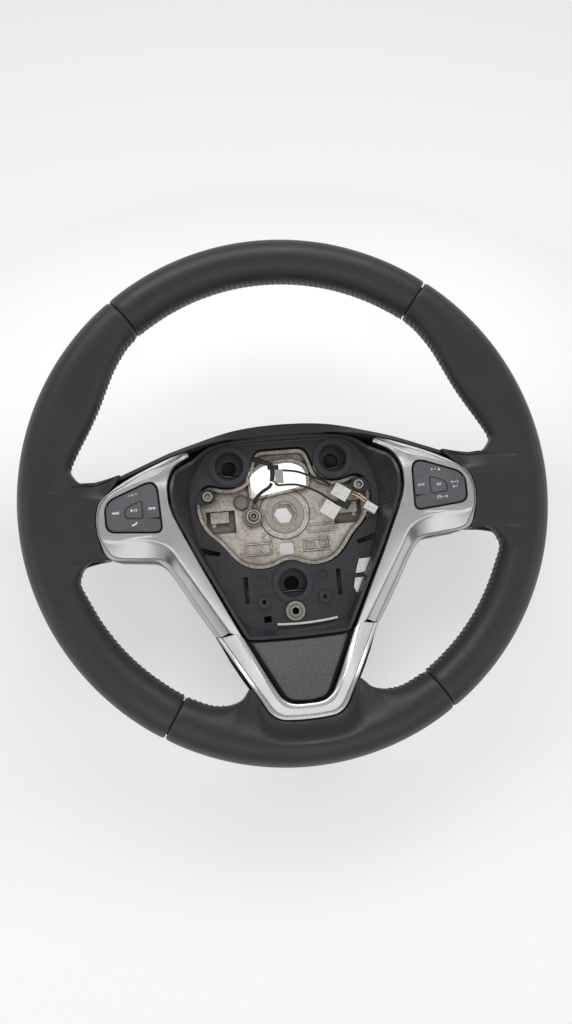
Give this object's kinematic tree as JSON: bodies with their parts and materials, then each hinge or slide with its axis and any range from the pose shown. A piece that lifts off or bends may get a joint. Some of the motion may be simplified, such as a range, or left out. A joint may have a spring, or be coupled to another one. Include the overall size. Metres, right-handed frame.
{
  "type": "car steering wheel",
  "caption": "Three-spoke car steering wheel with leather rim, silver spoke bezels and thumb switches, its hub open where the airbag module was taken out.",
  "frame": {"origin": "middle of the column bore at the hub's rear face", "axes": "+Z along the column towards the driver, +Y towards twelve o'clock, +X towards three o'clock"},
  "size_m": [0.37, 0.37, 0.0835],
  "materials": {
    "casting": "as-cast, stained",
    "insert": "dull",
    "foam": "matte",
    "leather": "satin",
    "cover": "satin",
    "screw": "satin",
    "tray": "satin",
    "wire": "satin",
    "bush": "dull",
    "satin_trim": "satin silver",
    "bright_trim": "polished",
    "chin": "grained",
    "dark": "matte",
    "board": "matte",
    "gimbal": "matte",
    "key": "matte",
    "terminal": "dull",
    "cable": "satin",
    "copper": "satin",
    "sleeve": "matte",
    "white": "matte"
  },
  "bodies": {
    "wheel": {"armature": "casting", "hub_insert": "insert", "rim_foam": "foam", "leather_top": "leather", "leather_left": "leather", "leather_right": "leather", "leather_bottom": "leather", "back_cover": "cover", "cover_screws": "screw", "airbag_tray": "tray", "tray_screws": "screw", "socket_left": "tray", "socket_right": "tray", "socket_lower": "tray", "spring_wire_left": "wire", "spring_wire_right": "wire", "spring_wire_lower": "wire", "damper_bush": "bush", "left_bezel": "satin_trim", "right_bezel": "satin_trim", "lower_trim": "bright_trim", "chin_pad": "chin", "left_housing": "dark", "left_board": "board", "left_lid": "dark", "right_housing": "dark", "right_board": "board", "right_lid": "dark", "earth_screw": "screw", "earth_terminal": "terminal", "harness_trunk": "cable", "earth_lead": "cable", "upper_lead": "cable", "lower_lead": "cable", "copper_leads": "copper", "cable_tie": "cable", "grey_sleeve": "sleeve", "upper_tag": "white", "lower_tag": "white", "dark_connector": "dark", "white_connector": "white", "wall_labels": "white", "lip_strip": "white"},
    "left_gimbal": {"left_gimbal": "gimbal"},
    "left_pad": {"left_pad": "key"},
    "left_button": {"left_button": "key"},
    "right_gimbal": {"right_gimbal": "gimbal"},
    "right_pad": {"right_pad": "key"},
    "right_button": {"right_button": "key"}
  },
  "joints": [
    {"name": "left_pad_up_down", "type": "hinge", "parent": "wheel", "child": "left_gimbal", "pos_m": [-0.1079, 0.006, 0.06202], "axis": [0.9962, 0, -0.0872], "range_deg": [-2, 2], "stiffness_Nm_per_rad": 0.8},
    {"name": "left_pad_left_right", "type": "hinge", "parent": "left_gimbal", "child": "left_pad", "pos_m": [-0.1079, 0.006, 0.06202], "axis": [0, 1, 0], "range_deg": [-2, 2], "stiffness_Nm_per_rad": 0.8},
    {"name": "left_button_press", "type": "slide", "parent": "wheel", "child": "left_button", "axis": [-0.0872, 0, -0.9962], "range_m": [0, 0.001], "stiffness_N_per_m": 1500},
    {"name": "right_pad_up_down", "type": "hinge", "parent": "wheel", "child": "right_gimbal", "pos_m": [0.1079, 0.006, 0.06202], "axis": [0.9962, 0, 0.0872], "range_deg": [-2, 2], "stiffness_Nm_per_rad": 0.8},
    {"name": "right_pad_left_right", "type": "hinge", "parent": "right_gimbal", "child": "right_pad", "pos_m": [0.1079, 0.006, 0.06202], "axis": [0, 1, 0], "range_deg": [-2, 2], "stiffness_Nm_per_rad": 0.8},
    {"name": "right_button_press", "type": "slide", "parent": "wheel", "child": "right_button", "axis": [0.0872, 0, -0.9962], "range_m": [0, 0.001], "stiffness_N_per_m": 1500}
  ]
}
